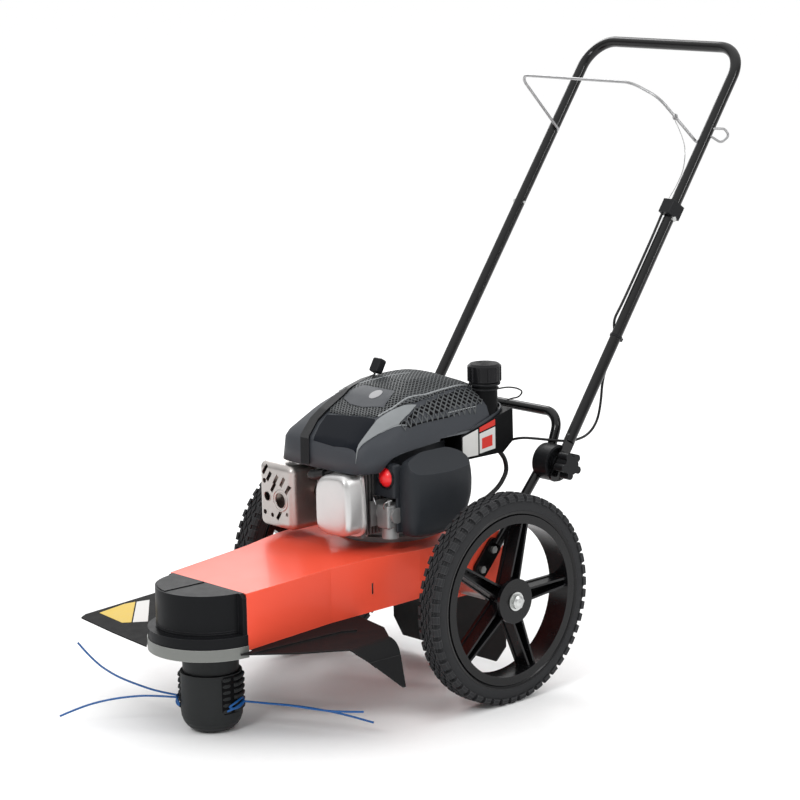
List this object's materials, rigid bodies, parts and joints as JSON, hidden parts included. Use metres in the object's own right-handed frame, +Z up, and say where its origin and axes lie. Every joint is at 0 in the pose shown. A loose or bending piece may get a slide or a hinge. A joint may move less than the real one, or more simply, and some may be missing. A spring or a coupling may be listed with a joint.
{
  "type": "brush mower",
  "caption": "Walk-behind string-trimmer mower: tapered deck, belt-driven line head, vertical-shaft engine, two large spoked wheels and a folding U handle with a bail.",
  "frame": {"origin": "on the ground under the middle of the machine, trimmer lines left out", "axes": "+Z up, -Y towards the trimmer head at the front, +X towards the operator's left"},
  "size_m": [0.64, 1.4645, 1.2037],
  "materials": {
    "deck_shell": "gloss red-orange paint",
    "nose_cover": "satin black moulded",
    "nose_base": "satin cast",
    "debris_shield": "matte black moulded",
    "rear_flap": "matte black",
    "chassis_bolts": "zinc plated",
    "axle": "plain steel",
    "axle_hardware": "zinc plated",
    "hoop_frame": "gloss black",
    "clamp_discs": "satin black",
    "spindle_housing": "cast",
    "spindle_bearings": "ground",
    "drive_belt": "matte black",
    "crankcase": "cast",
    "cylinder": "cast",
    "valve_cover": "silver stamped",
    "muffler": "heat-stained",
    "muffler_guard": "stamped",
    "carburettor": "cast",
    "air_filter_base": "satin black",
    "air_filter_cover": "satin black",
    "spark_plug": "black boot and lead",
    "engine_shroud": "satin charcoal",
    "intake_screen": "fine mesh",
    "shroud_strap": "matte black",
    "fuel_tank": "satin black",
    "neck_wire": "dark wire",
    "fuel_hose": "matte black",
    "cable_loop": "black sheath",
    "rim_left": "satin black moulded",
    "tyre_left": "tread rubber",
    "rim_right": "satin black moulded",
    "tyre_right": "tread rubber",
    "crankshaft": "ground",
    "flywheel": "cast",
    "engine_pulley": "pressed",
    "spindle_shaft": "ground",
    "spindle_pulley": "pressed",
    "head_collar": "satin black",
    "head_body": "satin black moulded",
    "trimmer_line_right_upper": "blue nylon",
    "trimmer_line_right_lower": "blue nylon",
    "trimmer_line_left_upper": "blue nylon",
    "trimmer_line_left_lower": "blue nylon",
    "idler_pulley": "satin",
    "handle_tube_left": "gloss black",
    "handle_tube_right": "gloss black",
    "handle_upper": "gloss black",
    "handle_bolts": "zinc plated",
    "rope_guide": "zinc wire",
    "cable_clips": "satin black",
    "cable_sheath": "black sheath",
    "cable_inner_wire": "bare wire",
    "bail": "zinc wire",
    "star_knob_left": "satin black",
    "star_knob_right": "satin black",
    "brake_lever": "zinc plated",
    "primer_bulb": "red rubber",
    "fuel_cap": "satin black",
    "starter_grip": "matte black"
  },
  "bodies": {
    "frame": {"deck_shell": "deck_shell", "nose_cover": "nose_cover", "nose_base": "nose_base", "debris_shield": "debris_shield", "rear_flap": "rear_flap", "chassis_bolts": "chassis_bolts", "axle": "axle", "axle_hardware": "axle_hardware", "hoop_frame": "hoop_frame", "clamp_discs": "clamp_discs", "spindle_housing": "spindle_housing", "spindle_bearings": "spindle_bearings", "drive_belt": "drive_belt", "crankcase": "crankcase", "cylinder": "cylinder", "valve_cover": "valve_cover", "muffler": "muffler", "muffler_guard": "muffler_guard", "carburettor": "carburettor", "air_filter_base": "air_filter_base", "air_filter_cover": "air_filter_cover", "spark_plug": "spark_plug", "engine_shroud": "engine_shroud", "intake_screen": "intake_screen", "shroud_strap": "shroud_strap", "fuel_tank": "fuel_tank", "neck_wire": "neck_wire", "fuel_hose": "fuel_hose", "cable_loop": "cable_loop"},
    "wheel_left": {"rim_left": "rim_left", "tyre_left": "tyre_left"},
    "wheel_right": {"rim_right": "rim_right", "tyre_right": "tyre_right"},
    "crank": {"crankshaft": "crankshaft", "flywheel": "flywheel", "engine_pulley": "engine_pulley"},
    "head": {"spindle_shaft": "spindle_shaft", "spindle_pulley": "spindle_pulley", "head_collar": "head_collar", "head_body": "head_body", "trimmer_line_right_upper": "trimmer_line_right_upper", "trimmer_line_right_lower": "trimmer_line_right_lower", "trimmer_line_left_upper": "trimmer_line_left_upper", "trimmer_line_left_lower": "trimmer_line_left_lower"},
    "idler": {"idler_pulley": "idler_pulley"},
    "handle": {"handle_tube_left": "handle_tube_left", "handle_tube_right": "handle_tube_right", "handle_upper": "handle_upper", "handle_bolts": "handle_bolts", "rope_guide": "rope_guide", "cable_clips": "cable_clips", "cable_sheath": "cable_sheath", "cable_inner_wire": "cable_inner_wire"},
    "bail": {"bail": "bail"},
    "knob_left": {"star_knob_left": "star_knob_left"},
    "knob_right": {"star_knob_right": "star_knob_right"},
    "brake": {"brake_lever": "brake_lever"},
    "primer": {"primer_bulb": "primer_bulb"},
    "cap": {"fuel_cap": "fuel_cap"},
    "starter": {"starter_grip": "starter_grip"}
  },
  "joints": [
    {"name": "wheel_left_spin", "type": "hinge", "parent": "frame", "child": "wheel_left", "pos_m": [0.272, -0.07852, 0.203], "axis": [1, 0, 0], "continuous": true},
    {"name": "wheel_right_spin", "type": "hinge", "parent": "frame", "child": "wheel_right", "pos_m": [-0.272, -0.07852, 0.203], "axis": [1, 0, 0], "continuous": true},
    {"name": "crank_spin", "type": "hinge", "parent": "frame", "child": "crank", "pos_m": [0, -0.12352, 0.4], "axis": [0, 0, 1], "continuous": true},
    {"name": "head_spin", "type": "hinge", "parent": "frame", "child": "head", "pos_m": [0, -0.57552, 0.15], "axis": [0, 0, 1], "continuous": true},
    {"name": "idler_spin", "type": "hinge", "parent": "frame", "child": "idler", "pos_m": [-0.06936, -0.34952, 0.261], "axis": [0, 0, 1], "continuous": true},
    {"name": "handle_fold", "type": "hinge", "parent": "frame", "child": "handle", "pos_m": [0, 0.13548, 0.4208], "axis": [1, 0, 0], "range_deg": [-15, 110]},
    {"name": "knob_left_turn", "type": "hinge", "parent": "frame", "child": "knob_left", "pos_m": [0.23, 0.13548, 0.4208], "axis": [1, 0, 0], "range_deg": [0, 720]},
    {"name": "knob_right_turn", "type": "hinge", "parent": "frame", "child": "knob_right", "pos_m": [-0.23, 0.13548, 0.4208], "axis": [-1, 0, 0], "range_deg": [0, 720]},
    {"name": "bail_squeeze", "type": "hinge", "parent": "handle", "child": "bail", "pos_m": [0, 0.55282, 1.01241], "axis": [-1, 0, 0], "range_deg": [0, 48], "stiffness_Nm_per_rad": 1, "springref_deg": -22.92},
    {"name": "brake_lever_turn", "type": "hinge", "parent": "frame", "child": "brake", "pos_m": [0.062, -0.08052, 0.427], "axis": [0, 0, -1], "range_deg": [0, 24]},
    {"name": "primer_push", "type": "slide", "parent": "frame", "child": "primer", "axis": [0, 1, 0], "range_m": [0, 0.006], "stiffness_N_per_m": 700, "springref_m": -0.001},
    {"name": "fuel_cap_lift", "type": "slide", "parent": "frame", "child": "cap", "axis": [0, 0, 1], "range_m": [0, 0.05]},
    {"name": "starter_pull", "type": "slide", "parent": "frame", "child": "starter", "axis": [0, 0.5, 0.866], "range_m": [0, 0.6], "stiffness_N_per_m": 12, "springref_m": -0.3}
  ],
  "couplings": [
    {"joint": "head_spin", "follows": "crank_spin", "ratio": 0.8},
    {"joint": "idler_spin", "follows": "crank_spin", "ratio": -1.7273},
    {"joint": "brake_lever_turn", "follows": "bail_squeeze", "ratio": 0.5}
  ]
}
